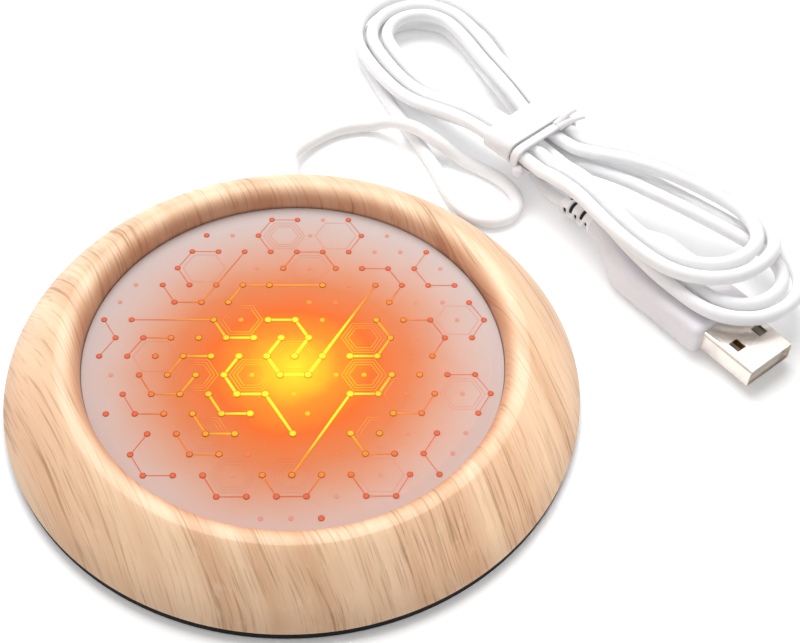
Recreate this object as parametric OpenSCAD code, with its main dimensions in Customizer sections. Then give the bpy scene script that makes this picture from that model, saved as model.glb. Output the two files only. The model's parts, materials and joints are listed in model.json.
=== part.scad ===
// Electric mug warmer: a turned wooden ring holds a flat heated face, and a
// black base plate screwed to its underside carries the heater, the cord and
// the feet. The thin power cord leaves at the back, lies in a tied hank beside
// the ring and ends in a flat plug.
// Millimetres. The ring stands on z = 0, its axis is Z, and the cord leaves
// at the back, +Y.

/* [Wooden ring] */
// Outer diameter of the ring
ring_d = 105; // [100:1:116]
// Height from the table to the crest of the ring
body_h = 12.5; // [12:0.1:14]
// Width of the ring, from its bore to its outside
ring_w = 14.25; // [13.75:0.05:15]
// How far the heated face lies below the crest
recess = 4.0; // [3.6:0.1:4.4]
// Radius of the rounded inner edge
lip_round = 3.2; // [2:0.1:3.4]
// Width of the outer slope, from the crest to the outside
slope_w = 10.3; // [8:0.1:10.6]
// How full the outer slope is: 1 is a straight cone
slope_full = 1.24; // [1.1:0.02:1.8]
// Radius of the small rounded edge at the foot of the slope
foot_round = 0.6; // [0.3:0.1:1]
// How far the lip covers the rim of the heated plate
lip_cover = 2.9; // [1.5:0.1:3.2]

/* [Heated stack] */
// Thickness of the printed face on the plate
face_t = 0.3; // [0.2:0.05:0.5]
// Thickness of the aluminium plate
plate_t = 1.2; // [0.8:0.1:1.5]
// Thickness of the insulating film that carries the heater
film_t = 0.2; // [0.1:0.05:0.3]
// Thickness of the heater foil
trace_t = 0.2; // [0.1:0.05:0.3]
// Width of the heater foil
trace_w = 1.2; // [0.8:0.1:1.5]
// Distance between two runs of the heater foil
trace_step = 2.6; // [2.4:0.1:3.2]
// Radius of the innermost run
trace_in = 8; // [7:0.5:10]
// Free angle at each end of the runs
trace_gap = 8; // [7:1:12]
// Clearance between parts that drop into each other
fit = 0.2; // [0.1:0.05:0.3]

/* [Base] */
// Thickness of the base plate
base_t = 1.2; // [1.1:0.1:1.6]
// How much smaller the base plate is than the ring, all round
base_inset = 0.15; // [0.1:0.05:1.5]
// Wall of the upright rim that clamps the plate
rim_t = 1.3; // [1:0.1:1.8]
// Height of the ribs that carry the insulation
rib_h = 1.5; // [1.2:0.1:2]
// Thickness of those ribs
rib_t = 1.2; // [1:0.1:2]
// Radius of the inner rib circle
rib_inner_r = 14; // [12:0.5:16]
// Radius of the outer rib circle
rib_outer_r = 31; // [30:0.5:34]
// Number of feet
feet = 4; // [3:1:6]
// Diameter of a rubber foot
foot_d = 9; // [7:0.5:10]
// Thickness of a rubber foot
foot_t = 1.0; // [0.8:0.1:1.2]
// How far a foot stands out below the base
foot_proud = 0.5; // [0.3:0.05:0.6]
// Distance of the feet from the outside of the ring
foot_inset = 18.5; // [17:0.5:24]
// Number of base screws
screws = 4; // [3:1:6]
// Shank diameter of a base screw
screw_d = 2.2; // [1.8:0.1:2.6]
// Head diameter of a base screw
screw_head_d = 4.4; // [4:0.1:5]
// Length of a base screw
screw_l = 5.8; // [5:0.1:6.5]
// Distance of the base screws from the outside of the ring
screw_inset = 6.9; // [6:0.1:8]

/* [Inside] */
// Length of the thermal cut-out
cutout_l = 11; // [9:0.5:13]
// Width of the thermal cut-out
cutout_w = 5.5; // [5:0.1:6.5]
// Height of the thermal cut-out
cutout_h = 2.4; // [2:0.1:2.6]
// Distance of the cut-out from the axis
cutout_at = 20; // [18:0.5:24]
// Diameter of one insulated lead
lead_d = 1.1; // [0.9:0.05:1.2]
// Length of the cord clamp
clamp_l = 15; // [14:0.5:18]
// Width of the cord clamp
clamp_w = 5; // [4.5:0.5:6]
// Thickness of the cord clamp
clamp_t = 1.6; // [1.4:0.1:1.8]
// Distance of the clamp from the axis
clamp_at = 22; // [20:0.5:26]
// Shank diameter of a clamp screw
clamp_screw_d = 1.6; // [1.4:0.1:1.8]
// Head diameter of a clamp screw
clamp_head_d = 3; // [2.6:0.1:3.2]
// Distance between the two clamp screws
clamp_pitch = 10.4; // [9.5:0.1:11]

/* [Cord] */
// Diameter of the cord
cord_d = 2.8; // [2.4:0.1:3]
// Width of the strain relief body in the ring
relief_w = 5.6; // [5:0.1:6]
// Height of the strain relief body in the ring
relief_h = 4.0; // [3.8:0.1:4.2]
// Length of the tapered nose of the strain relief
relief_nose = 5; // [3:0.5:8]
// Diameter of the nose at its free end
relief_end_d = 3.5; // [3.4:0.1:3.7]

/* [Hank] */
// Clear space between two strands that lie side by side
strand_gap = 0.65; // [0.5:0.05:0.8]
// Clear space between two layers of strands
layer_gap = 0.9; // [0.85:0.05:1.1]
// Radius of the smallest loop at the bend away from the plug
left_bend_r = 7.2; // [7:0.1:8]
// Radius of the smallest loop at the bend over the plug
right_bend_r = 8.6; // [8:0.1:9.4]
// Half the space between the two runs at the waist, to strand centres
waist_half = 1.55; // [1.5:0.05:2.2]
// Width of the soft strap round the waist
strap_w = 7; // [5:0.5:8]
// Thickness of that strap
strap_t = 0.8; // [0.6:0.05:0.8]
// Width of the wire tie beside it
tie_w = 1.8; // [1.4:0.1:2.4]
// Thickness of the wire tie
tie_t = 0.8; // [0.6:0.05:0.8]
// Length of the free ends of the wire tie
tie_tail = 5.5; // [4:0.5:12]

/* [Plug] */
// Width of the moulded grip
grip_w = 15.8; // [14.5:0.1:16]
// Thickness of the grip
grip_t = 7.0; // [6.5:0.1:7.2]
// Length of the grip
grip_l = 20; // [18:0.5:22]
// Length of the taper behind the grip
taper_l = 14.4; // [12:0.1:16]
// Diameter of the taper where the cord enters
taper_d = 4.6; // [4:0.1:5]
// Width of the metal shell
shell_w = 12.0; // [12:0.1:12.2]
// Height of the metal shell
shell_h = 4.5; // [4.5:0.1:4.6]
// Exposed length of the metal shell
shell_l = 12.0; // [11.7:0.1:12.5]
// Wall of the shell
shell_t = 0.3; // [0.25:0.05:0.4]
// How far the shell runs into the grip
shell_root = 6; // [5:0.5:7]
// Thickness of the plastic tongue
tongue_t = 1.9; // [1.7:0.1:2.1]
// Setback of the tongue from the mouth of the shell
tongue_back = 1.2; // [0.8:0.1:1.6]
// Length of one window in the shell
window_l = 2.4; // [2:0.1:2.8]
// Width of one window in the shell
window_w = 2.2; // [2:0.1:2.6]
// Distance between the two windows on one face, centre to centre
window_pitch = 6.2; // [5.6:0.1:6.6]

/* [Hidden] */
$fn = 96;
eps = 0.01;

// heights of the stack, from the table up
base_z = foot_proud;
ring_z = base_z + base_t;
face_z = body_h - recess;
plate_top = face_z - face_t;
plate_z = plate_top - plate_t;
film_z = plate_z - film_t;
foil_z = film_z - trace_t;
pad_z = ring_z + rib_h;

// radii
ring_r = ring_d/2;
bore_r = ring_r - ring_w;
plate_r = bore_r + lip_cover - fit;
rebate_r = bore_r + lip_cover;
rim_r = rebate_r - fit;
rim_in_r = rim_r - rim_t;
base_r = ring_r - base_inset;
pad_r = rim_in_r - fit;
film_r = rim_in_r - fit;
crest_r = ring_r - slope_w;
foot_at = ring_r - foot_inset;
screw_at = ring_r - screw_inset;

cord_r = cord_d/2;
relief_z = ring_z + fit/2;
cord_z = relief_z + relief_h/2; // axis of the cord where it enters
relief_in = rim_in_r + 0.1;     // the strain relief starts at the rim's inner wall
relief_out = ring_r - 2;        // and its nose starts here
relief_end = relief_out + relief_nose;
channel_w = relief_w + 2*fit;
channel_top = relief_z + relief_h + fit;

screw_head_h = 0.9;
screw_pilot = base_z + screw_l - ring_z + 0.4;

// ---------------------------------------------------------------- helpers
function unit(a) = [cos(a), sin(a)];
function left_of(a) = [-sin(a), cos(a)];
function smooth(t) = let(u = min(max(t, 0), 1)) u*u*(3 - 2*u);
function arc(c, r, a0, a1, steps) =
    [for (i = [0:steps]) c + r*unit(a0 + (a1 - a0)*i/steps)];
function bezier(a, b, c, d, t) =
    a*pow(1 - t, 3) + b*3*t*pow(1 - t, 2) + c*3*t*t*(1 - t) + d*pow(t, 3);
// smooth run from point a, heading a_dir, to point b, heading b_dir
function run(a, a_dir, b, b_dir, t, hold = 0.38) =
    let(h = norm(b - a)*hold) bezier(a, a + h*unit(a_dir), b - h*unit(b_dir), b, t);

// cross-section frame of a path that stays near the table
function heading(p, i) =
    let(d = p[min(i + 1, len(p) - 1)] - p[max(i - 1, 0)]) d/norm(d);
function ring_points(p, i, r, sides) =
    let(t = heading(p, i), s = cross(t, [0, 0, 1]), side = s/norm(s), up = cross(side, t))
    [for (k = [0:sides - 1]) let(a = 360*(k + 0.5)/sides) p[i] + r*(cos(a)*side + sin(a)*up)];

// one unbroken tube along the points of a path
module tube(path, r, sides) {
    n = len(path);
    points = [for (i = [0:n - 1]) each ring_points(path, i, r, sides)];
    skin = [for (i = [0:n - 2]) for (k = [0:sides - 1])
        let(a = i*sides + k, b = i*sides + (k + 1) % sides)
        each [[a, b, b + sides], [a, b + sides, a + sides]]];
    caps = [[for (k = [0:sides - 1]) sides - 1 - k], [for (k = [0:sides - 1]) (n - 1)*sides + k]];
    polyhedron(points, concat(skin, caps), convexity = 8);
}

module around(count, r, first = 0)
    for (i = [0:count - 1]) rotate(first + 360*i/count) translate([r, 0, 0]) children();

// upright cylinder from z0 to z1
module post(r, z0, z1)
    translate([0, 0, z0]) cylinder(r = r, h = z1 - z0);

module hollow_post(r, r_in, z0, z1)
    difference() {
        post(r, z0, z1);
        post(r_in, z0 - 1, z1 + 1);
    }

// screw, head down at z, countersunk, with the shank pointing up
module screw(d, head_d, head_h, length, z)
    translate([0, 0, z]) {
        cylinder(d1 = head_d, d2 = d, h = head_h, $fn = 32);
        cylinder(d = d, h = length, $fn = 32);
    }

// bar along X with rounded long edges, its section centred on the axis
module rounded_bar(length, w, h, r) {
    translate([0, -w/2 + r, -h/2]) cube([length, w - 2*r, h]);
    translate([0, -w/2, -h/2 + r]) cube([length, w, h - 2*r]);
    for (y = [-1, 1], z = [-1, 1])
        translate([0, y*(w/2 - r), z*(h/2 - r)]) rotate([0, 90, 0]) cylinder(r = r, h = length, $fn = 24);
}

// ---------------------------------------------------------------- ring
slope_steps = 12;
function slope_point(t) =       // t runs from 0 at the crest to 1 at the foot
    let(a = 90*(1 - t), foot = ring_z + foot_round)
    [crest_r + slope_w*pow(cos(a), 2/slope_full), foot + (body_h - foot)*pow(sin(a), 2/slope_full)];
ring_profile = concat(
    [[rebate_r, ring_z], [rebate_r, plate_top], [bore_r, plate_top]],
    arc([bore_r + lip_round, body_h - lip_round], lip_round, 180, 90, 8),
    [for (i = [0:slope_steps]) slope_point(i/slope_steps)],
    arc([ring_r - foot_round, ring_z + foot_round], foot_round, -30, -90, 2));

module wood_ring()
    color("burlywood") difference() {
        rotate_extrude($fn = 144) polygon(ring_profile);
        // channel for the strain relief, open below until the base closes it
        translate([-channel_w/2, bore_r, ring_z - 1]) cube([channel_w, ring_r, channel_top - ring_z + 1]);
        around(screws, screw_at, 45)
            translate([0, 0, ring_z - 1]) cylinder(d = screw_d, h = screw_pilot + 1, $fn = 32);
    }

// ---------------------------------------------------------------- heated stack
module printed_face()
    color("lightpink") post(bore_r - fit, plate_top, face_z);

module heat_plate()
    color("silver") post(plate_r, plate_z, plate_top);

module heater_film()
    color("darkgoldenrod") post(film_r, film_z, plate_z);

trace_runs = floor((film_r - 3 - trace_in)/trace_step/2)*2 + 1;
feed_at = [2.6, 4];             // solder pads of the heater, near the axis
pad_d = 2.6;

// concentric runs in each half, joined end to end and across the front
module heater_foil()
    color("peru") translate([0, 0, foil_z]) {
        for (half = [0, 1]) mirror([half, 0, 0]) {
            for (i = [0:trace_runs - 1])
                foil_arc(trace_in + i*trace_step, trace_gap - 90, 90 - trace_gap);
            for (i = [0:trace_runs - 2])
                rotate(i % 2 == 0 ? trace_gap - 90 : 90 - trace_gap)
                    translate([trace_in + i*trace_step, -trace_w/2, 0]) cube([trace_step, trace_w, trace_t]);
            translate([feed_at[0], feed_at[1], 0]) cylinder(d = pad_d, h = trace_t, $fn = 32);
            // feed from the pad to the back end of the innermost run
            translate([feed_at[0] - trace_w/2, feed_at[1], 0])
                cube([trace_w, sqrt(pow(trace_in, 2) - pow(feed_at[0], 2)) - feed_at[1] + trace_w/4, trace_t]);
        }
        foil_arc(trace_in + (trace_runs - 1)*trace_step, -90 - trace_gap, trace_gap - 90);
    }

module foil_arc(r, a0, a1)
    rotate(a0) rotate_extrude(angle = a1 - a0) translate([r - trace_w/2, 0]) square([trace_w, trace_t]);

// foam pad with a slot for the cord and pockets for what sits in it
pad_room = 0.4;
feed_room = 3;                  // space round the two solder pads
module insulation_pad()
    color("whitesmoke") difference() {
        post(pad_r, pad_z, foil_z);
        translate([-cord_r - pad_room, 0, pad_z - 1])
            cube([cord_d + 2*pad_room, pad_r + 1, cord_z + cord_r + pad_room - pad_z + 1]);
        translate([-feed_at[0] - feed_room, feed_at[1] - feed_room, pad_z - 1])
            cube([2*(feed_at[0] + feed_room), 4*feed_room, foil_z - pad_z + 2]);
        translate([-clamp_l/2 - pad_room, clamp_at - clamp_w/2 - pad_room, pad_z - 1])
            cube([clamp_l + 2*pad_room, clamp_w + 2*pad_room, foil_z - pad_z + 2]);
        translate([cutout_at - cutout_w/2 - pad_room, -cutout_l/2 - 2, foil_z - cutout_h - pad_room])
            cube([cutout_w + 2*pad_room, cutout_l + 4, cutout_h + pad_room + 1]);
    }

// thermal cut-out with its two stiff leads, held against the heater
module thermal_cutout()
    color("ivory") translate([cutout_at, 0, foil_z - cutout_h/2]) {
        rotate(90) translate([-cutout_l/2, 0, 0]) rounded_bar(cutout_l, cutout_w, cutout_h, 0.6);
        for (s = [-1, 1])
            translate([0, s*(cutout_l/2 + 0.7), cutout_h/2 - 0.3]) cube([0.8, 1.6, 0.6], center = true);
    }

// ---------------------------------------------------------------- leads
lead_spread = 16;               // angle at which the two leads part
lead_side = 0.7;                // each lead's offset inside the cord
lead_bend = 1.5;
solder_h = 0.6;
lead_len = (feed_at[0] - lead_side)/sin(lead_spread);
jacket_end = feed_at[1] + lead_len*cos(lead_spread);    // where the cord's outer jacket stops

// one insulated lead: level out of the cord, then up to its pad
module insulated_lead(side)
    mirror([side, 0, 0]) translate([lead_side, jacket_end, cord_z]) rotate(lead_spread) {
        rotate([90, 0, 0]) cylinder(d = lead_d, h = lead_len - lead_bend, $fn = 24);
        translate([0, lead_bend - lead_len, lead_bend]) rotate([0, 90, 0]) rotate(-90)
            rotate_extrude(angle = 90) translate([lead_bend, 0]) circle(d = lead_d, $fn = 24);
        translate([0, -lead_len, lead_bend])
            cylinder(d = lead_d, h = foil_z - solder_h - cord_z - lead_bend, $fn = 24);
    }

module lead_red()
    color("firebrick") insulated_lead(0);

module lead_black()
    color("dimgray") insulated_lead(1);

module solder_joints()
    color("lightgray") for (side = [-1, 1])
        translate([side*feed_at[0], feed_at[1], foil_z - solder_h])
            cylinder(d1 = lead_d, d2 = 2*lead_d, h = solder_h, $fn = 24);

// ---------------------------------------------------------------- base
boss_d = 4;
boss_top = cord_z + cord_r - 0.7;

module base_plate()
    color("#242424") difference() {
        union() {
            post(base_r, base_z, ring_z);
            hollow_post(rim_r, rim_in_r, ring_z - eps, plate_z);
            for (r = [rib_inner_r, rib_outer_r])
                hollow_post(r + rib_t/2, r - rib_t/2, ring_z - eps, pad_z);
            for (s = [-1, 1])
                translate([s*clamp_pitch/2, clamp_at, 0])
                    post(boss_d/2, ring_z - eps, boss_top);
        }
        // way in for the cord through the ribs and the rim
        translate([-cord_r - pad_room, 0, ring_z]) cube([cord_d + 2*pad_room, rib_outer_r + rib_t, rib_h + 1]);
        translate([-channel_w/2, rim_in_r - rim_t, ring_z]) cube([channel_w, 3*rim_t, channel_top - ring_z]);
        around(screws, screw_at, 45) screw_hole();
        around(feet, foot_at) post(foot_d/2 + fit/2, base_z - 1, base_z + foot_t - foot_proud);
        for (s = [-1, 1])
            translate([s*clamp_pitch/2, clamp_at, 0])
                post(clamp_screw_d/2, ring_z + 0.2, boss_top + 1, $fn = 32);
    }

module screw_hole()
    translate([0, 0, base_z - eps]) {
        cylinder(d1 = screw_head_d + 2*fit, d2 = screw_d + 2*fit, h = screw_head_h, $fn = 32);
        cylinder(d = screw_d + 2*fit, h = base_t + 1, $fn = 32);
    }

module base_screws()
    color("gainsboro") around(screws, screw_at, 45) difference() {
        screw(screw_d - fit/2, screw_head_d, screw_head_h, screw_l, base_z);
        cross_slot(base_z, 2.6);
    }

slot_w = 0.4;
slot_deep = 0.4;
module cross_slot(z, length)
    for (a = [0, 90])
        rotate(a) translate([-length/2, -slot_w/2, z - 1]) cube([length, slot_w, 1 + slot_deep]);

module rubber_feet()
    color("#303030") around(feet, foot_at) post(foot_d/2, 0, foot_t);

clamp_z = boss_top;
module cord_clamp()
    color("#3a3a3a") difference() {
        translate([-clamp_l/2, clamp_at - clamp_w/2, clamp_z]) cube([clamp_l, clamp_w, clamp_t]);
        translate([0, clamp_at + clamp_w, cord_z]) rotate([90, 0, 0])
            cylinder(r = cord_r + fit/2, h = 2*clamp_w);
        for (s = [-1, 1])
            translate([s*clamp_pitch/2, clamp_at, clamp_z]) {
                translate([0, 0, -1]) cylinder(d = clamp_screw_d + 2*fit, h = clamp_t + 2, $fn = 32);
                translate([0, 0, clamp_t - 0.8])
                    cylinder(d1 = clamp_screw_d + 2*fit, d2 = clamp_head_d + 2*fit, h = 0.8 + eps, $fn = 32);
            }
    }

module clamp_screws()
    color("gainsboro") for (s = [-1, 1])
        translate([s*clamp_pitch/2, clamp_at, clamp_z + clamp_t]) rotate([180, 0, 0]) difference() {
            screw(clamp_screw_d - fit/2, clamp_head_d, 0.7, clamp_t + 1.6, 0);
            cross_slot(0, 1.8);
        }

// ---------------------------------------------------------------- cord
module cord_inner_end()
    color("white") translate([0, relief_end, cord_z]) rotate([90, 0, 0])
        cylinder(r = cord_r, h = relief_end - jacket_end, $fn = 48);

// grooved body in the ring's channel, and a tapered nose outside
module strain_relief()
    color("white") difference() {
        union() {
            translate([0, relief_out, cord_z]) rotate([0, 0, -90])
                rounded_bar(relief_out - relief_in, relief_w, relief_h, 1.2);
            translate([0, relief_out, cord_z]) rotate([-90, 0, 0])
                cylinder(d1 = relief_h, d2 = relief_end_d, h = relief_nose);
        }
        translate([0, 0, cord_z]) rotate([-90, 0, 0]) cylinder(r = cord_r + fit/2, h = relief_end + 1);
    }

// The cord outside is drawn for a strain relief that ends 55.5 mm from the axis.
// It moves as a whole with the real end of the strain relief.
moved = relief_end - 55.5;
function laid(p) = [p[0], p[1] + moved, p[2]*cord_r];   // height given in cord radii

// stretch from the strain relief to the hank, over itself once: chosen by hand
lead_points = [for (p = [[1.9, 62.2, 1.8], [4.6, 65.2, 1.15], [8.6, 68.2, 1], [13, 69.8, 1], [17.4, 69.9, 1.3],
    [22, 68.3, 2.8], [26.6, 65.2, 3.5], [31.4, 61.7, 2.8], [36.4, 58.4, 1.3], [41.2, 55, 1],
    [44.6, 51.6, 1], [46.4, 47.9, 1], [46.3, 44.1, 1], [44, 41.2, 1], [40.2, 40.3, 1],
    [36.5, 41.6, 1], [34, 45, 1], [32.1, 50, 1], [30.6, 55.2, 1], [28.8, 60.4, 1],
    [26.4, 66.4, 1], [23.6, 73.4, 1], [20.6, 81, 1]]) laid(p)];

// ---------------------------------------------------------------- hank
plug_at = [61.5, 36.9 + moved]; // cord end of the plug's taper
plug_dir = -54;
plug_z = grip_t/2;
plug_start = [plug_at[0], plug_at[1], plug_z];

hank_turns = 4;                 // whole loops, in two layers of two
pitch = cord_d + strand_gap;
layer_step = cord_d + layer_gap;
left_bend = [30, 96 + moved];
right_bend = [84.8, 19 + moved];
left_in = 108;                  // heading into and out of each bend, in degrees
left_out = -58;
right_in = -38;
right_out = -228;
waist = [54.1, 56.2 + moved];
waist_dir = -51;
waist_draw = 0.5;               // the strap draws the left runs in by this share of the pitch
fan = [-5, 9];                  // the upper layer lies this far aside at the right bend
bend_rings = 5;                 // steps round one bend
left_rings = 3;                 // steps along a run, from the waist to the left bend
right_rings = 4;                // and from the waist to the right bend
rings = 2*(bend_rings + left_rings + right_rings);
climb = 0.3;                    // share of a loop in which a strand climbs a layer
turn_in = hank_turns/2 - 0.125; // the spiral has wound in here, climbs and winds out again

// plan of one cross-section: i counts steps round the loop, q the strands inside it
function loop_point(i, q, aside) =
    let(rl = left_bend_r + q*pitch, rr = right_bend_r + q*pitch, w = waist_half + q*pitch,
        v = w - waist_draw*pitch, cr = right_bend + aside, side = left_of(waist_dir),
        n1 = bend_rings, n2 = n1 + left_rings, n3 = n2 + right_rings,
        n4 = n3 + bend_rings, n5 = n4 + right_rings)
    i < n1 ? left_bend + rl*left_of(left_in + (left_out - left_in)*i/bend_rings)
  : i < n2 ? run(left_bend + rl*left_of(left_out), left_out, waist + v*side, waist_dir, (i - n1)/left_rings)
  : i < n3 ? run(waist + v*side, waist_dir, cr + rr*left_of(right_in), right_in, (i - n2)/right_rings)
  : i < n4 ? cr + rr*left_of(right_in + (right_out - right_in)*(i - n3)/bend_rings)
  : i < n5 ? run(cr + rr*left_of(right_out), right_out, waist - w*side, waist_dir - 180, (i - n4)/right_rings)
           : run(waist - w*side, waist_dir - 180, left_bend + rl*left_of(left_in), left_in, (i - n5)/left_rings);

// the strands rise over the cord that crosses under the waist, and over the plug
waist_lift = 4.3;
waist_reach = 36;               // back on the table this far from the waist
waist_ramp = 22;
plug_lift = grip_t + 0.5;
plug_reach = 37;                // back on the table this far from the plug's centre line
plug_ramp = 27;
plug_before = 33;               // the rise starts this far before the plug's cord end
function lift(p) =
    let(d = p - plug_at, along = d*unit(plug_dir), off = abs(d*left_of(plug_dir)),
        from_waist = abs((p - waist)*unit(waist_dir)))
    max(plug_lift*smooth((along + plug_before)/(plug_before + 1))*smooth((plug_reach - off)/plug_ramp),
        waist_lift*smooth((waist_reach - from_waist)/waist_ramp));

function hank_point(n) =
    let(t = n/rings, q = abs(t - turn_in), layer = smooth((t - turn_in)/climb + 0.5),
        p = loop_point(n % rings, q, fan*layer))
    [p[0], p[1], cord_r + layer_step*layer + lift(p)];

hank_last = rings*hank_turns + bend_rings;
hank_core = [for (n = [0:hank_last]) hank_point(n)];
function ahead(a) = cord_d*[cos(a), sin(a), 0];
hank_path = concat([hank_core[0] - ahead(left_in)], hank_core, [hank_core[hank_last] + ahead(left_out)]);
hank_start = hank_path[0];
hank_end = hank_path[len(hank_path) - 1];

relief_exit = [0, relief_end, cord_z];
lead_path = concat([relief_exit, relief_exit + [0, cord_d, -0.1]], lead_points,
                   [hank_start - ahead(left_in), hank_start]);

// stretch from the hank to the plug: down beside the hank, then under its waist;
// along the waist's heading, aside to its left, height in cord radii
function by_waist(p) =
    let(c = waist + p[0]*unit(waist_dir) + p[1]*left_of(waist_dir)) [c[0], c[1], p[2]*cord_r];
tail_points = [for (p = [[-33.5, 20, 2.9], [-29, 19, 1.7], [-24.5, 17, 1], [-19.5, 13.2, 1],
    [-14.5, 8.4, 1], [-9.5, 3.4, 1], [-4.5, -0.6, 1], [0.8, -3.6, 1], [6.3, -5.4, 1.25]]) by_waist(p)];
tail_path = concat([hank_end, hank_end + ahead(left_out)], tail_points,
                   [plug_start - 2.6*ahead(plug_dir) - [0, 0, 0.6], plug_start - ahead(plug_dir), plug_start]);

module cord_lead()
    color("white") tube(lead_path, cord_r, 8);

module cord_hank()
    color("white") tube(hank_path, cord_r, 6);

module cord_tail()
    color("white") tube(tail_path, cord_r, 8);

// least clear space between two strands of the hank, on points along its centre line
function between(a, b, n) = [for (k = [0:n - 1]) a + (b - a)*k/n];
probe = [for (i = [0:len(hank_path) - 2]) each between(hank_path[i], hank_path[i + 1], 5)];
hank_gap = min([for (i = [0:len(probe) - 1]) for (j = [i + 40:1:len(probe) - 1])
    norm(probe[i] - probe[j])]) - cord_d;
echo(hank_least_gap = hank_gap);
if (hank_gap < 0.4)
    echo("the strands of the hank lie closer than 0.4 mm");

// ---------------------------------------------------------------- ties
// strands at the waist's outer corners: offset to the left of the waist's heading, height
waist_z = cord_r + waist_lift;
waist_corners = [[-waist_half - 2*pitch, waist_z + layer_step], [-waist_half - pitch, waist_z],
                 [waist_half + 1.05*pitch, waist_z], [waist_half + pitch, waist_z + layer_step]];
tie_room = 0.4;

module waist_band(w, t, at)
    translate([waist[0], waist[1], 0]) rotate(waist_dir) translate([at - w/2, 0, 0])
        rotate([90, 0, 90]) linear_extrude(w) difference() {
            band_outline(cord_r + tie_room + t);
            band_outline(cord_r + tie_room);
        }

module band_outline(r)
    hull() for (c = waist_corners) translate(c) circle(r = r, $fn = 24);

strap_at = -5.5;
tie_at = strap_at + strap_w/2 + tie_w/2 + 0.6;
tie_root = 1.9;                 // its ends leave the band this far to the left of the waist's line
tie_ends = [[-0.4, -4], [0.6, -26]];    // place along the band's width and heading of each end

module waist_strap()
    color("white") waist_band(strap_w, strap_t, strap_at);

// wire tie with its two free ends, bent up and away from the hank
module wire_tie()
    color("white") {
        waist_band(tie_w, tie_t, tie_at);
        translate([waist[0], waist[1], 0]) rotate(waist_dir)
            translate([tie_at, tie_root, waist_z + layer_step + cord_r + tie_room + tie_t/2])
                for (e = tie_ends)
                    translate([e[0], 0, 0]) rotate(90 + e[1]) rotate([0, 75, 0])
                        cylinder(d1 = tie_w, d2 = tie_w*0.6, h = tie_tail, $fn = 16);
    }

// ---------------------------------------------------------------- plug
module at_plug()
    translate(plug_start) rotate(plug_dir) children();

// lofted grip: sections go from round at the cord to a rounded oblong at the shell
grip_sides = 32;
grip_round = 1.2;               // rounded edge at the shell end
function grip_squareness(u) = 1 - 0.62*smooth(u);
function power(v, n) = sign(v)*pow(abs(v), n);
function grip_section(x) =
    let(u = smooth(x/taper_l), edge = max(0, x - taper_l - grip_l + grip_round),
        shrink = edge > 0 ? grip_round - sqrt(max(0, pow(grip_round, 2) - edge*edge)) : 0,
        w = taper_d + (grip_w - taper_d)*u - 2*shrink*0.8,
        h = taper_d + (grip_t - taper_d)*u - 2*shrink*0.8,
        n = grip_squareness(x/taper_l))
    [for (k = [0:grip_sides - 1]) let(a = 360*(k + 0.5)/grip_sides)
        [x, w/2*power(cos(a), n), h/2*power(sin(a), n)]];
grip_stations = concat([for (i = [0:9]) taper_l*i/9], [taper_l + grip_l/2],
    [for (e = [1, 0.67, 0.33, 0.08, 0]) taper_l + grip_l - e*grip_round]);

module plug_grip()
    color("#dedbe2") at_plug() difference() {
        loft([for (x = grip_stations) grip_section(x)], grip_sides);
        translate([taper_l + grip_l - shell_root, -shell_w/2, -shell_h/2]) cube([shell_root + 1, shell_w, shell_h]);
    }

module loft(sections, sides) {
    n = len(sections);
    skin = [for (i = [0:n - 2]) for (k = [0:sides - 1])
        let(a = i*sides + k, b = i*sides + (k + 1) % sides)
        each [[a, b, b + sides], [a, b + sides, a + sides]]];
    caps = [[for (k = [0:sides - 1]) sides - 1 - k], [for (k = [0:sides - 1]) (n - 1)*sides + k]];
    polyhedron([for (s = sections) each s], concat(skin, caps), convexity = 4);
}

shell_x = taper_l + grip_l - shell_root;
shell_front = taper_l + grip_l + shell_l;
window_x = shell_front - shell_l/2;
shell_round = 0.7;              // outer radius of the shell's long edges

module plug_shell()
    color("silver") at_plug() difference() {
        translate([shell_x, 0, 0]) rounded_bar(shell_root + shell_l, shell_w, shell_h, shell_round);
        translate([shell_x + shell_t, 0, 0])
            rounded_bar(shell_root + shell_l, shell_w - 2*shell_t, shell_h - 2*shell_t, shell_round - shell_t);
        for (y = [-1, 1])
            translate([window_x - window_l/2, y*window_pitch/2 - window_w/2, -shell_h])
                cube([window_l, window_w, 2*shell_h]);
    }

tongue_z = -shell_h/2 + shell_t;
tongue_side = shell_t + 0.15;   // from the shell's outside to the tongue's side
module plug_tongue()
    color("#f2f0ea") at_plug()
        translate([shell_x + shell_t, -shell_w/2 + tongue_side, tongue_z])
            cube([shell_front - tongue_back - shell_x - shell_t, shell_w - 2*tongue_side, tongue_t]);

// four flat contacts on the tongue, the outer two longer
contact_t = 0.2;
contact_w = 1;
contact_y = [-3.5, -1, 1, 3.5];
contact_root = 2;               // they start this far inside the grip
contact_long = 1;               // the outer two reach this much further out
contact_back = 1.8;             // the inner two end this far behind the tongue's tip
contact_l = contact_root + shell_l - tongue_back - contact_back;
module plug_contacts()
    color("gold") at_plug()
        for (y = contact_y)
            translate([shell_x + shell_root - contact_root, y - contact_w/2, tongue_z + tongue_t])
                cube([contact_l + (abs(y) > contact_y[2] ? contact_long : 0), contact_w, contact_t]);

wood_ring();
printed_face();
heat_plate();
heater_film();
heater_foil();
insulation_pad();
thermal_cutout();
lead_red();
lead_black();
solder_joints();
base_plate();
base_screws();
rubber_feet();
cord_clamp();
clamp_screws();
cord_inner_end();
strain_relief();
cord_lead();
cord_hank();
cord_tail();
waist_strap();
wire_tie();
plug_grip();
plug_shell();
plug_tongue();
plug_contacts();
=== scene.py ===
"""Electric mug warmer: every visible surface and its finish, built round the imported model.

Lengths are in metres. The warmer stands on z = 0, its axis is Z and its cord
leaves at the back, +Y. The sections on the cord, the ties and the plug reckon in
millimetres, and their points become metres on the way into a mesh.
"""

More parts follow.
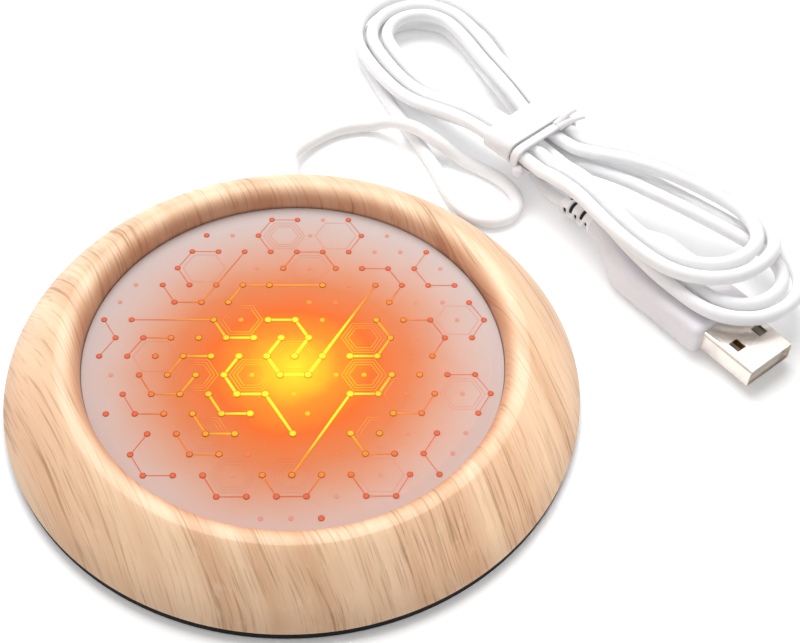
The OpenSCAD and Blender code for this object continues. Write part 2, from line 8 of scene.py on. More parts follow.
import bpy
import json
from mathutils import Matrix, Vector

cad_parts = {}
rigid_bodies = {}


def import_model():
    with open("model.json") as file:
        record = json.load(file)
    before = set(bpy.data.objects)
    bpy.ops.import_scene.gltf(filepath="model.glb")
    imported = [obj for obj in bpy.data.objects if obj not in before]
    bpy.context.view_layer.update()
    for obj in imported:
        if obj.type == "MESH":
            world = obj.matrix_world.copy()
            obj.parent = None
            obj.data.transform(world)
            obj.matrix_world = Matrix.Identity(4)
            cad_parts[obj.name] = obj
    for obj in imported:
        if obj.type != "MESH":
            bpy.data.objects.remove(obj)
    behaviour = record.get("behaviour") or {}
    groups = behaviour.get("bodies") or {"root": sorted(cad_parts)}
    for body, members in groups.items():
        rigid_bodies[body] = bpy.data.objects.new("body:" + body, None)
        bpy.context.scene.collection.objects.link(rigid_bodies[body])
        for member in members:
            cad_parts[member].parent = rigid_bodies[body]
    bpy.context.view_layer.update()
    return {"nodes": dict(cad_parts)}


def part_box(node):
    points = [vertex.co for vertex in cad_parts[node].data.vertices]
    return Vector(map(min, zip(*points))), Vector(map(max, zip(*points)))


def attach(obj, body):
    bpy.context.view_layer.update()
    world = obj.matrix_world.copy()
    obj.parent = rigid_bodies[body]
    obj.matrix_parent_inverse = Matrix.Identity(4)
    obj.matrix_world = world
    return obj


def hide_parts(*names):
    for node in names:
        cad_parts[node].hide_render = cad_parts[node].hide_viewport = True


bl_info = {
    "name": "Electric mug warmer",
    "version": (1, 0, 0),
    "blender": (4, 5, 0),
    "location": "View3D > Sidebar > Mug warmer",
    "description": "Builds a wooden mug warmer with its heated face, cord, ties and plug",
    "category": "Add Mesh",
}

import json
import math
import random

import bmesh
import bpy
from bpy.props import FloatProperty, FloatVectorProperty, IntProperty, PointerProperty
from mathutils import Matrix, Vector

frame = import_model()

MM = 0.001
BODY = "root"

RING_LOW, RING_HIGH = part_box("wood_ring")
FACE_LOW, FACE_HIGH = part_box("printed_face")
RELIEF_LOW, RELIEF_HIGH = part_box("strain_relief")
MERGE = 1e-7  # points closer than this are one


def srgb(red, green, blue):
    """Screen values from 0 to 255 as linear colour."""
    def linear(value):
        value /= 255
        return value/12.92 if value <= 0.04045 else ((value + 0.055)/1.055)**2.4
    return tuple(linear(value) for value in (red, green, blue))


# ---------------------------------------------- sizes and colours
def length(name, description, millimetres):
    return FloatProperty(name=name, description=description, default=millimetres*MM, unit="LENGTH")


def colour(name, description, red, green, blue):
    return FloatVectorProperty(name=name, description=description, subtype="COLOR", size=3,
                               min=0, max=1, default=srgb(red, green, blue))


class WarmerSizes(bpy.types.PropertyGroup):
    face_gap: length("Face gap", "Clearance between the heated face and the ring's bore", 0.08)
    rebate: length("Rebate", "How far the ring's lip covers the plate", 2.9)
    plate_drop: length("Plate drop", "Depth from the printed face to the plate below it", 0.3)
    lip_round: length("Lip rounding", "Radius of the rounded inner edge", 3.2)
    slope_width: length("Slope width", "Width of the outer slope", 10.3)
    slope_full: FloatProperty(name="Slope fullness", description="1 is a straight cone", default=1.24)
    foot_round: length("Foot rounding", "Radius of the small edge at the foot", 0.6)
    glow_forward: length("Glow forward", "How far the glow's middle lies in front of the ring's axis", 3.0)
    hexagon: length("Hexagon edge", "Edge of one cell of the printed lattice", 5.0)
    lattice_turn: FloatProperty(name="Lattice turn", description="Turn of the printed lattice",
                                default=math.radians(-1.7), subtype="ANGLE")
    dot: length("Dot", "Diameter of one printed dot", 1.55)
    line: length("Line", "Width of a printed line near the centre", 0.62)
    lone_dots: FloatProperty(name="Lone dots", description="Share of free places with a dot", default=0.14)
    pale_dots: FloatProperty(name="Pale dots", default=0.65,
                             description="Share of the places still free with a pale dot")
    print_seed: IntProperty(name="Print seed", description="Layout of the printed lattice", default=17)


class WarmerColours(bpy.types.PropertyGroup):
    wood_light: colour("Pale wood", "Wood between the grain lines", 245, 207, 171)
    wood_mid: colour("Wood", "Broad grain", 224, 177, 139)
    wood_dark: colour("Dark grain", "Narrow grain lines", 158, 112, 78)
    face_edge: colour("Face edge", "Printed face near the ring", 193, 176, 172)
    glow_core: colour("Glow core", "Middle of the printed glow", 250, 214, 30)
    glow_mid: colour("Glow", "Printed glow round its middle", 222, 100, 26)
    cord_white: colour("Cord", "Cord and ties", 240, 239, 240)
    grip_white: colour("Grip", "Moulded grip", 226, 222, 226)
    shell_metal: colour("Shell", "Plug shell", 248, 239, 231)
    # the base colour also darkens the sleeve's slots as painted shade
    base_black: colour("Base", "Base plate and feet", 14, 14, 15)


# ---------------------------------------------- shader expressions
class Wire:
    """A shader socket that takes part in arithmetic."""

    def __init__(self, finish, socket):
        self.finish = finish
        self.socket = socket

    def math(self, operation, other):
        return self.finish.add("ShaderNodeMath", [self, other], operation=operation)

    def __add__(self, other):
        return self.math("ADD", other)

    def __sub__(self, other):
        return self.math("SUBTRACT", other)

    def __rsub__(self, other):
        return self.finish.add("ShaderNodeMath", [other, self], operation="SUBTRACT")

    def __mul__(self, other):
        return self.math("MULTIPLY", other)

    def __truediv__(self, other):
        return self.math("DIVIDE", other)

    __radd__ = __add__
    __rmul__ = __mul__


def filled(value):
    """Wires and numbers as they are, and a colour with its fourth value."""
    return value if isinstance(value, (Wire, float, int)) else (*value, 1)


class Finish:
    """One material: its node tree and the pieces that most finishes need."""

    def __init__(self, name):
        self.material = bpy.data.materials.new(name)
        self.material.use_nodes = True
        self.tree = self.material.node_tree
        self.shader = self.tree.nodes["Principled BSDF"]
        self.place = self.add("ShaderNodeTexCoord", output="Object")

    def fill(self, node, sockets):
        """Sets or links a node's inputs, given as a list or by name or number."""
        pairs = sockets.items() if isinstance(sockets, dict) else enumerate(sockets)
        for key, value in pairs:
            if isinstance(value, Wire):
                self.tree.links.new(value.socket, node.inputs[key])
            else:
                node.inputs[key].default_value = value

    def add(self, kind, sockets=(), output=0, stops=None, **settings):
        """Any node: its settings first, then the values or links of its sockets."""
        node = self.tree.nodes.new(kind)
        for key, value in settings.items():
            setattr(node, key, value)
        if stops:
            ramp = node.color_ramp
            while len(ramp.elements) < len(stops):
                ramp.elements.new(0.5)
            for element, (position, tint) in zip(ramp.elements, stops):
                element.position = position
                element.color = (*tint, 1)
        self.fill(node, sockets)
        return Wire(self, node.outputs[output])

    def stretched(self, scale, turn=0.0):
        """Object coordinates turned about Z, then scaled by a vector."""
        turned = self.add("ShaderNodeMapping", {"Vector": self.place, "Rotation": (0, 0, turn)})
        return self.add("ShaderNodeVectorMath", [turned, scale], operation="MULTIPLY")

    def noise(self, vector, scale, detail=3.0, roughness=0.5):
        return self.add("ShaderNodeTexNoise", {"Vector": vector, "Scale": scale, "Detail": detail,
                                               "Roughness": roughness})

    def between(self, value, low, high):
        """0 below low, 1 above high, smooth between."""
        return self.add("ShaderNodeMapRange", {"Value": value, "From Min": low, "From Max": high},
                        interpolation_type="SMOOTHSTEP")

    def ramp(self, value, stops):
        return self.add("ShaderNodeValToRGB", {"Fac": value}, stops=stops)

    def mix(self, amount, a, b):
        """Colour a where amount is 0, colour b where it is 1."""
        sockets = {0: amount, 6: filled(a), 7: filled(b)}
        return self.add("ShaderNodeMix", sockets, output=2, data_type="RGBA")

    def lit(self, reach, low, high, tint):
        """Light of its own in the tint, full where reach is under low and none above high."""
        return self.mix(1 - self.between(reach, low, high), (0.0, 0.0, 0.0), tint)

    def radius(self, forward=0.0):
        """Distance from the ring's axis, or from an upright line that far in front of it."""
        flat = self.add("ShaderNodeVectorMath", [self.place, (1, 1, 0)], operation="MULTIPLY")
        moved = self.add("ShaderNodeVectorMath", [flat, (0, forward, 0)], operation="ADD")
        return self.add("ShaderNodeVectorMath", [moved], output="Value", operation="LENGTH")

    def bump(self, height, depth):
        normal = self.add("ShaderNodeBump", {"Height": height, "Strength": 1.0, "Distance": depth})
        self.fill(self.shader, {"Normal": normal})

    def surface(self, **sockets):
        """Inputs of the main shader, with underscores for spaces."""
        self.fill(self.shader, {key.replace("_", " "): filled(value) for key, value in sockets.items()})
        return self.material


def sizes():
    return bpy.context.scene.warmer_sizes


def colours():
    return bpy.context.scene.warmer_colours


# ---------------------------------------------- finishes
def wood_finish():
    """Pale turned wood, its fibres running slantwise from back to front through the whole ring."""
    f = Finish("pale turned wood")
    c = colours()
    grain_turn = math.radians(-24)
    drift = f.noise(f.stretched((1, 0.5, 1), grain_turn), 26, 2)
    shift = f.add("ShaderNodeCombineXYZ", [(drift - 0.5)*0.009, 0.0, 0.0])
    along = f.stretched((1, 0.022, 0.05), grain_turn)
    fibres = f.add("ShaderNodeVectorMath", [along, shift], operation="ADD")
    broad = f.noise(fibres, 150, 2)
    lines = f.noise(fibres, 1500, 2, 0.55)
    fine = f.noise(fibres, 3200, 2)
    fleck = f.noise(f.stretched((1, 0.2, 1), grain_turn), 700, 2)
    tone = f.mix(f.between(broad, 0.34, 0.68), c.wood_light, c.wood_mid)
    dark = f.between(lines, 0.55, 0.68)*(0.35 + 0.65*f.between(broad, 0.4, 0.6))
    tone = f.mix(dark*0.62, tone, c.wood_dark)
    tone = f.mix(f.between(fine, 0.54, 0.72)*0.45, tone, c.wood_dark)
    tone = f.mix(f.between(fleck, 0.55, 0.8)*0.22, tone, srgb(255, 226, 194))
    # painted shade: the wood darkens towards the foot of the ring
    height = f.add("ShaderNodeSeparateXYZ", [f.place], output=2)
    low = 1 - f.between(height, RING_LOW.z, RING_LOW.z + 6*MM)
    tone = f.mix(low*0.3, tone, srgb(152, 116, 88))
    # painted shade: towards the bore the wood darkens to red-brown over the inner wall
    bore_shade = 1 - f.between(f.radius(), FACE_HIGH.x + 0.4*MM, FACE_HIGH.x + 2.2*MM)
    tone = f.mix(bore_shade*0.45, tone, srgb(178, 98, 62))
    f.bump(lines*0.6 + fine*0.3, 0.08*MM)
    return f.surface(Base_Color=tone, Roughness=0.47 + 0.14*dark, Specular_IOR_Level=0.38,
                     Coat_Weight=0.12, Coat_Roughness=0.3)


GLOW_REACH = 0.038  # the print has its outermost colour this far from the glow's middle


def face_finish():
    """Matte print of a glow that fades from yellow over orange to greyish pink; round its middle the print
    also has painted light, a faint glow of its own.
    """
    f = Finish("printed heat glow")
    c = colours()
    cloud = f.noise(f.place, 60, 3, 0.6)
    reach = (f.radius(sizes().glow_forward) + (cloud - 0.5)*0.006)/GLOW_REACH
    tone = f.ramp(reach, [
        (0.0, c.glow_core), (0.11, srgb(243, 184, 22)), (0.23, srgb(232, 132, 20)),
        (0.38, c.glow_mid), (0.56, srgb(208, 118, 72)), (0.7, srgb(204, 142, 114)),
        (0.86, srgb(198, 164, 152)), (1.0, c.face_edge)])
    grain = f.noise(f.place, 5200, 1)
    f.bump(grain, 0.00001)
    # painted light: round the middle the print emits a faint glow in the glow tint
    return f.surface(Base_Color=tone, Roughness=0.5 + 0.1*grain, Specular_IOR_Level=0.12,
                     Emission_Color=f.lit(reach, 0.02, 0.5, c.glow_mid), Emission_Strength=0.05)


def print_finish(name, near, middle, far, strength):
    """Ink of the printed lattice, from its colour at the centre to that near the ring. Near the centre the
    ink also emits painted light in its centre colour, as strong as strength.
    """
    f = Finish(name)
    wear = f.noise(f.place, 420, 2)
    reach = f.radius(sizes().glow_forward)/GLOW_REACH + (wear - 0.5)*0.12
    tone = f.ramp(reach, [(0.0, near), (0.3, near), (0.5, middle), (0.72, far), (1.0, far)])
    return f.surface(Base_Color=tone, Roughness=0.5 + 0.1*wear, Specular_IOR_Level=0.1,
                     Emission_Color=f.lit(reach, 0.1, 0.62, near), Emission_Strength=strength)


def moulded(name, tint, roughness, scale, depth, mottle=0.06, specular=0.5):
    """Moulded plastic or rubber with a fine skin and a slight mottle."""
    f = Finish(name)
    cloud = f.noise(f.place, scale*0.12, 3)
    grain = f.noise(f.place, scale, 2)
    shade = tuple(v*(1 - 4*mottle) for v in tint)
    f.bump(grain, depth)
    return f.surface(Base_Color=f.mix(f.between(cloud, 0.35, 0.75)*0.5, tint, shade),
                     Roughness=roughness + (grain - 0.5)*0.16, Specular_IOR_Level=specular)


def metal(name, tint, roughness, brushed=(1, 1, 1), scale=3000.0, depth=0.000004):
    """Bare metal with brushing along the axes that brushed leaves short."""
    f = Finish(name)
    streak = f.noise(f.stretched(brushed), scale, 2)
    cloud = f.noise(f.place, 220, 3)
    dull = tuple(v*0.72 for v in tint)
    f.bump(streak, depth)
    return f.surface(Base_Color=f.mix(f.between(cloud, 0.4, 0.8)*0.6, tint, dull), Metallic=1.0,
                     Roughness=roughness + (streak - 0.5)*0.2 + (cloud - 0.5)*0.1)


# ---------------------------------------------- meshes
def piece(name, points, faces, material, slot, replaced=(), sharp=35):
    """A closed, smooth-shaded mesh that rides on the body. The slot argument is not used."""
    mesh = bpy.data.meshes.new(name)
    mesh.from_pydata([tuple(p) for p in points], [], faces)
    return settle(name, mesh, material, replaced, sharp)


def settle(name, mesh, material, replaced=(), sharp=35):
    """Finishes a mesh as a piece: normals outwards, smooth with sharp edges, riding on the body."""
    work = bmesh.new()
    work.from_mesh(mesh)
    bmesh.ops.remove_doubles(work, verts=work.verts, dist=MERGE)
    bmesh.ops.recalc_face_normals(work, faces=work.faces)
    work.to_mesh(mesh)
    work.free()
    mesh.polygons.foreach_set("use_smooth", [True]*len(mesh.polygons))
    mesh.set_sharp_from_angle(angle=math.radians(sharp))
    mesh.materials.clear()
    mesh.materials.append(material)
    mesh.polygons.foreach_set("material_index", [0]*len(mesh.polygons))
    made = bpy.data.objects.new(name, mesh)
    bpy.context.scene.collection.objects.link(made)
    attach(made, BODY)
    if replaced:
        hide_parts(*replaced)
    return made


def dress(node, material):
    """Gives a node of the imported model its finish."""
    slots = frame["nodes"][node].material_slots
    if not slots:
        frame["nodes"][node].data.materials.append(material)
    for s in slots:
        s.material = material


def arc(centre, radius, start, end, steps):
    """Points on an arc in a plane, angles in degrees."""
    angles = [math.radians(start + (end - start)*i/steps) for i in range(steps + 1)]
    return [(centre[0] + radius*math.cos(a), centre[1] + radius*math.sin(a)) for a in angles]


def lathe(outline, steps):
    """A closed outline of (radius, z) turned about Z."""
    n = len(outline)
    points = [(r*math.cos(a), r*math.sin(a), z)
              for a in (2*math.pi*k/steps for k in range(steps)) for r, z in outline]
    faces = [(k*n + i, k*n + (i + 1) % n, (k + 1) % steps*n + (i + 1) % n, (k + 1) % steps*n + i)
             for k in range(steps) for i in range(n)]
    return points, faces


def skin(sections, closed=False):
    """Faces over rings of equally many points, with end caps unless closed."""
    n, sides = len(sections), len(sections[0])
    faces = [(i*sides + k, i*sides + (k + 1) % sides,
              (i + 1) % n*sides + (k + 1) % sides, (i + 1) % n*sides + k)
             for i in range(n if closed else n - 1) for k in range(sides)]
    if not closed:
        faces.append(tuple(range(sides))[::-1])
        faces.append(tuple(range((n - 1)*sides, n*sides)))
    return [p for s in sections for p in s], faces


# ---------------------------------------------- wooden ring
RING_SIDES = 288
SLOPE_STEPS = 40
LIP_EDGE = 0.15*MM  # small broken edge under the lip


def ring_outline():
    """Section of the ring as (radius, z)."""
    s = sizes()
    outer, crest, low = RING_HIGH.x, RING_HIGH.z, RING_LOW.z
    bore = FACE_HIGH.x + s.face_gap
    seat = FACE_HIGH.z - s.plate_drop
    foot = low + s.foot_round
    under = [(bore + s.rebate, low), (bore + s.rebate, seat)]
    under += [(bore + LIP_EDGE, seat), (bore, seat + LIP_EDGE)]
    lip = arc((bore + s.lip_round, crest - s.lip_round), s.lip_round, 180, 90, 20)
    slope = []
    for i in range(SLOPE_STEPS + 1):
        a = math.pi/2*(1 - i/SLOPE_STEPS)
        slope.append((outer - s.slope_width + s.slope_width*math.cos(a)**(2/s.slope_full),
                      foot + (crest - foot)*math.sin(a)**(2/s.slope_full)))
    return under + lip + slope + arc((outer - s.foot_round, foot), s.foot_round, -15, -90, 6)


class WARMER_OT_ring(bpy.types.Operator):
    """Turned wooden ring"""
    bl_idname = "warmer.ring"
    bl_label = "Wooden ring"

    def execute(self, context):
        points, faces = lathe(ring_outline(), RING_SIDES)
        piece("turned_ring", points, faces, wood_finish(), "pale_wood", ["wood_ring"], sharp=50)
        return {"FINISHED"}


# ---------------------------------------------- heated face
# the six steps of a triangular lattice, in its own two directions
WAYS = [(1, 0), (0, 1), (-1, 1), (-1, 0), (0, -1), (1, -1)]
MARGIN, CELL_MARGIN = 1.3*MM, 0.8*MM  # from the face's edge to lattice points and to cells
TRIES = 4  # for a chain round one point
LEAPS, QUIET_CELLS = 0.85, 0.8  # chances that a chain tries a leap, and a nest of quiet cells
CELLS_APART = 1.6  # least distance between nests, in edges of the lattice
CELL_SIZE, CELL_STEP = 0.8, 0.13  # a nest's outermost cell and the step to the next, in edges
EASE_NEAR, EASE_FAR = 0.15, 0.8  # the print thins between these shares of the face's radius
LINE_FLAT, DOT_FLAT = 0.1, 0.25  # how thin a tube and a disc are squeezed
FACE_EDGE, PRINT_LIFT = 0.06*MM, 0.02*MM
FACE_RINGS, FACE_SIDES = 24, 192


def lattice_chains():
    """Seeded chains on a triangular lattice: lines, dots, and centres of quiet cells and pale dots.

    A chain follows some edges of a hexagon and may then leap straight on. No two
    chains share a point, and the ones in the middle are laid first.
    """
    s = sizes()
    pick = random.Random(s.print_seed)
    edge, reach = s.hexagon, FACE_HIGH.x - MARGIN
    count = int(reach/edge*1.2) + 2
    used, lines, quiet = set(), [], []

    def place(a, b):
        return (a + b/2)*edge, b*edge*math.sqrt(3)/2

    def near(a, b, k, steps=1):
        return a + steps*WAYS[k % 6][0], b + steps*WAYS[k % 6][1]

    def free(points):
        return all(p not in used and math.hypot(*place(*p)) < reach for p in points)

    cells = [(a, b) for a in range(-count, count + 1) for b in range(-count, count + 1)
             if math.hypot(*place(a, b)) < reach + edge]
    cells.sort(key=lambda p: math.hypot(*place(*p)) + 2*edge*pick.random())
    for a, b in cells:
        for _ in range(TRIES):
            start, turn, steps = pick.randrange(6), pick.choice((1, -1)), pick.choice((2, 3, 3, 4))
            way = [near(a, b, start + turn*i) for i in range(steps + 1)]
            if free(way):
                break
        else:
            continue
        used.update(way)
        on = start + turn*(steps + 1) - pick.choice((0, turn))
        leap = [near(*way[-1], on, i) for i in range(1, pick.choice((2, 3, 4, 5)) + 1)]
        if pick.random() < LEAPS and free(leap):
            used.update(leap)
            way.append(leap[-1])
        lines.append([place(*p) for p in way])
        x, y = place(a, b)
        apart = CELLS_APART*edge
        if pick.random() < QUIET_CELLS and all(math.hypot(x - q[0], y - q[1]) > apart for q in quiet):
            quiet.append((x, y, pick.choice((1, 2, 3))))
    alone = [p for p in cells if free([p]) and pick.random() < s.lone_dots]
    used.update(alone)
    lone = [place(*p) for p in alone]
    pale = [place(*p) for p in cells if free([p]) and pick.random() < s.pale_dots]
    return lines, [p for way in lines for p in way] + lone, quiet, pale


def hexagon(x, y, size):
    """Corners of a cell, with the first one again at the end."""
    angles = [math.radians(60*i) for i in range(7)]
    return [(x + size*math.cos(a), y + size*math.sin(a)) for a in angles]


def turned_mesh(name, chains, z):
    """Loose edges along chains of plane points, turned with the lattice."""
    turn = Matrix.Rotation(sizes().lattice_turn, 3, "Z")
    points, edges = [], []
    for chain in chains:
        edges += [(len(points) + i, len(points) + i + 1) for i in range(len(chain) - 1)]
        points += [turn @ Vector((x, y, z)) for x, y in chain]
    mesh = bpy.data.meshes.new(name)
    mesh.from_pydata([tuple(p) for p in points], edges, [])
    return mesh


class Graph:
    """A geometry node tree with named inputs and one way to add a node."""

    def __init__(self, name, inputs):
        self.tree = bpy.data.node_groups.new(name, "GeometryNodeTree")
        face = self.tree.interface
        face.new_socket("Geometry", in_out="INPUT", socket_type="NodeSocketGeometry")
        face.new_socket("Geometry", in_out="OUTPUT", socket_type="NodeSocketGeometry")
        self.ids = {}
        for key, kind in inputs.items():
            self.ids[key] = face.new_socket(key, in_out="INPUT", socket_type="NodeSocket" + kind).identifier
        self.start = self.tree.nodes.new("NodeGroupInput")
        self.end = self.tree.nodes.new("NodeGroupOutput")

    def given(self, key):
        return self.start.outputs[key]

    def add(self, kind, sockets, output=0, **settings):
        node = self.tree.nodes.new(kind)
        for key, value in settings.items():
            setattr(node, key, value)
        for key, value in sockets.items():
            if isinstance(value, bpy.types.NodeSocket):
                self.tree.links.new(value, node.inputs[key])
            else:
                node.inputs[key].default_value = value
        return node.outputs[output]

    def math(self, operation, a, b):
        return self.add("ShaderNodeMath", {0: a, 1: b}, operation=operation)

    def finish(self, geometry, material):
        """Ends the tree in Realize Instances and Set Material."""
        real = self.add("GeometryNodeRealizeInstances", {"Geometry": geometry})
        done = self.add("GeometryNodeSetMaterial", {"Geometry": real, "Material": material})
        self.tree.links.new(done, self.end.inputs[0])

    def bake(self, name, mesh, values):
        """Runs the tree on a mesh and gives the result as a plain mesh."""
        holder = bpy.data.objects.new(name + " source", mesh)
        bpy.context.scene.collection.objects.link(holder)
        modifier = holder.modifiers.new("tree", "NODES")
        modifier.node_group = self.tree
        for key, value in values.items():
            modifier[self.ids[key]] = value
        bpy.context.view_layer.update()
        shown = holder.evaluated_get(bpy.context.evaluated_depsgraph_get())
        result = bpy.data.meshes.new_from_object(shown)
        result.name = name
        bpy.data.objects.remove(holder)
        return result


def reach_field(g):
    """Distance from the glow's middle as a share of the face's radius."""
    place = g.add("GeometryNodeInputPosition", {})
    flat = g.add("ShaderNodeVectorMath", {0: place, 1: (1.0, 1.0, 0.0)}, operation="MULTIPLY")
    moved = g.add("ShaderNodeVectorMath", {0: flat, 1: (0.0, sizes().glow_forward, 0.0)}, operation="ADD")
    far = g.add("ShaderNodeVectorMath", {0: moved}, output="Value", operation="LENGTH")
    return g.math("DIVIDE", far, FACE_HIGH.x)


def eased(g, value, near, far):
    """A value that goes from near round the glow's middle to far towards the ring."""
    return g.add("ShaderNodeMapRange", {"Value": value, "From Min": EASE_NEAR, "From Max": EASE_FAR,
                                        "To Min": near, "To Max": far})


def flattened(g, geometry, level, share):
    """Squeezes a print to a thin film on the level."""
    place = g.add("GeometryNodeInputPosition", {})
    split = g.add("ShaderNodeSeparateXYZ", {0: place}).node
    lower = g.math("MULTIPLY", g.math("SUBTRACT", split.outputs[2], level), share)
    joined = g.add("ShaderNodeCombineXYZ", {0: split.outputs[0], 1: split.outputs[1],
                                            2: g.math("ADD", lower, level)})
    return g.add("GeometryNodeSetPosition", {"Geometry": geometry, "Position": joined})


def line_tree(name, material, far_share):
    """Lines along loose edges, thick near the centre and thin near the ring."""
    g = Graph(name, {"Width": "Float", "Level": "Float"})
    curve = g.add("GeometryNodeMeshToCurve", {"Mesh": g.given("Geometry")})
    fine = g.add("GeometryNodeSubdivideCurve", {"Curve": curve, "Cuts": 3})
    width = g.math("MULTIPLY", g.given("Width"), 0.5)
    thick = g.math("MULTIPLY", width, eased(g, reach_field(g), 1.0, far_share))
    profile = g.add("GeometryNodeCurvePrimitiveCircle", {"Resolution": 6, "Radius": 1.0})
    tube = g.add("GeometryNodeCurveToMesh", {"Curve": fine, "Profile Curve": profile, "Scale": thick,
                                             "Fill Caps": True})
    g.finish(flattened(g, tube, g.given("Level"), LINE_FLAT), material)
    return g


def dot_tree(name, material, far_share):
    """A flat disc on every point, large near the centre and small near the ring."""
    g = Graph(name, {"Diameter": "Float", "Level": "Float"})
    disc = g.add("GeometryNodeMeshCylinder", {"Vertices": 20, "Radius": 0.5, "Depth": 0.2},
                 fill_type="NGON")
    size = g.math("MULTIPLY", g.given("Diameter"), eased(g, reach_field(g), 1.0, far_share))
    spread = g.add("GeometryNodeInstanceOnPoints", {"Points": g.given("Geometry"), "Instance": disc,
                                                    "Scale": size})
    real = g.add("GeometryNodeRealizeInstances", {"Geometry": spread})
    g.finish(flattened(g, real, g.given("Level"), DOT_FLAT), material)
    return g


class WARMER_OT_face(bpy.types.Operator):
    """Heated face with its printed lattice"""
    bl_idname = "warmer.face"
    bl_label = "Heated face"

    def execute(self, context):
        s = sizes()
        r, top = FACE_HIGH.x, FACE_HIGH.z
        outline = [(0.0, FACE_LOW.z), (r, FACE_LOW.z), (r, top - FACE_EDGE), (r - FACE_EDGE, top)]
        outline += [(r*k/FACE_RINGS, top) for k in range(FACE_RINGS - 1, -1, -1)]
        points, faces = lathe(outline, FACE_SIDES)
        piece("heated_face", points, faces, face_finish(), "printed_film", ["printed_face"])

        lines, dots, quiet, pale = lattice_chains()
        inside = r - CELL_MARGIN
        cells = [hexagon(x, y, (CELL_SIZE - CELL_STEP*i)*s.hexagon)
                 for x, y, rings in quiet for i in range(rings)]
        cells = [cell for cell in cells if all(math.hypot(*p) < inside for p in cell)]
        pale = [[p] for p in pale if math.hypot(*p) < inside - s.dot]
        dots = [[p] for p in dots]
        # the bright ink also emits a faint painted light near the centre; the other inks do not
        bright = print_finish("bright ink", srgb(255, 234, 50), srgb(244, 158, 24), srgb(214, 98, 56), 0.12)
        rim = print_finish("dark ink", srgb(226, 158, 14), srgb(178, 94, 16), srgb(180, 72, 48), 0.0)
        faint = print_finish("faint ink", srgb(252, 196, 30), srgb(226, 112, 56), srgb(206, 138, 118), 0.0)
        # name, tree, ink, share of its size that is left near the ring, points, level, size
        prints = [
            ("quiet_cells", line_tree, faint, 0.9, cells, 0.0, {"Width": 0.15*MM}),
            ("pale_dots", dot_tree, faint, 1.0, pale, 0.0, {"Diameter": 0.9*MM}),
            ("lattice_lines", line_tree, bright, 0.24, lines, 0.02*MM, {"Width": s.line}),
            ("dot_rims", dot_tree, rim, 0.72, dots, 0.03*MM, {"Diameter": s.dot}),
            ("lattice_dots", dot_tree, bright, 0.7, dots, 0.045*MM, {"Diameter": s.dot*0.76}),
        ]
        for name, tree, ink, far_share, chains, above, values in prints:
            level = top + PRINT_LIFT + above
            loose = turned_mesh(name, chains, level)
            made = tree(name, ink, far_share).bake(name, loose, {**values, "Level": level})
            settle(name, made, ink)
        return {"FINISHED"}


# ---------------------------------------------- cord route, in millimetres
CORD_D = 2.8
CORD_R = CORD_D/2
RELIEF_END = RELIEF_HIGH.y/MM
CORD_Z = (RELIEF_LOW.z + RELIEF_HIGH.z)/2/MM
MOVED = RELIEF_END - 55.5  # the points below are for a strain relief that ends at y = 55.5
PITCH = CORD_D + 0.65  # from strand to strand of a layer
LAYER_STEP = CORD_D + 0.9
LEFT_BEND = Vector((30, 96 + MOVED))
RIGHT_BEND = Vector((84.8, 19 + MOVED))
WAIST = Vector((54.1, 56.2 + MOVED))
LEFT_BEND_R, RIGHT_BEND_R, WAIST_HALF = 7.2, 8.6, 1.55
WAIST_DRAW = 0.5  # the strap draws the left runs in by this share of the pitch
LEFT_IN, LEFT_OUT, RIGHT_IN, RIGHT_OUT, WAIST_DIR = 108, -58, -38, -228, -51
FAN = Vector((-5, 9))
FINE = 4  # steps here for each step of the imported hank
BEND_STEPS, LEFT_STEPS, RIGHT_STEPS = 5*FINE, 3*FINE, 4*FINE
LOOP_STEPS = 2*(BEND_STEPS + LEFT_STEPS + RIGHT_STEPS)
HANK_TURNS = 4
CLIMB = 0.3
TURN_IN = HANK_TURNS/2 - 0.125
PLUG_AT = Vector((61.5, 36.9 + MOVED))
PLUG_DIR = -54
GRIP_T = 7.0
PLUG_START = Vector((*PLUG_AT, GRIP_T/2))
# height of each rise, how far out it starts and over what length it climbs
WAIST_LIFT, WAIST_REACH, WAIST_RAMP = 4.3, 36, 22
PLUG_LIFT, PLUG_REACH, PLUG_RAMP, PLUG_BEFORE = GRIP_T + 0.5, 37, 27, 33

LEAD = [
    (1.9, 62.2, 1.8), (4.6, 65.2, 1.15), (8.6, 68.2, 1), (13, 69.8, 1), (17.4, 69.9, 1.3),
    (22, 68.3, 2.8), (26.6, 65.2, 3.5), (31.4, 61.7, 2.8), (36.4, 58.4, 1.3), (41.2, 55, 1),
    (44.6, 51.6, 1), (46.4, 47.9, 1), (46.3, 44.1, 1), (44, 41.2, 1), (40.2, 40.3, 1),
    (36.5, 41.6, 1), (34, 45, 1), (32.1, 50, 1), (30.6, 55.2, 1), (28.8, 60.4, 1),
    (26.4, 66.4, 1), (23.6, 73.4, 1), (20.6, 81, 1)]
TAIL = [
    (-33.5, 20, 2.9), (-29, 19, 1.7), (-24.5, 17, 1), (-19.5, 13.2, 1), (-14.5, 8.4, 1),
    (-9.5, 3.4, 1), (-4.5, -0.6, 1), (0.8, -3.6, 1), (6.3, -5.4, 1.25)]


def unit(degrees):
    return Vector((math.cos(math.radians(degrees)), math.sin(math.radians(degrees))))


def left_of(degrees):
    return unit(degrees + 90)


def smooth(t):
    t = min(max(t, 0), 1)
    return t*t*(3 - 2*t)


def run(a, a_dir, b, b_dir, t, hold=0.38):
    """Point on a smooth run from a, heading a_dir, to b, heading b_dir."""
    h = (b - a).length*hold
    c, d = a + h*unit(a_dir), b - h*unit(b_dir)
    return a*(1 - t)**3 + c*3*t*(1 - t)**2 + d*3*t*t*(1 - t) + b*t**3


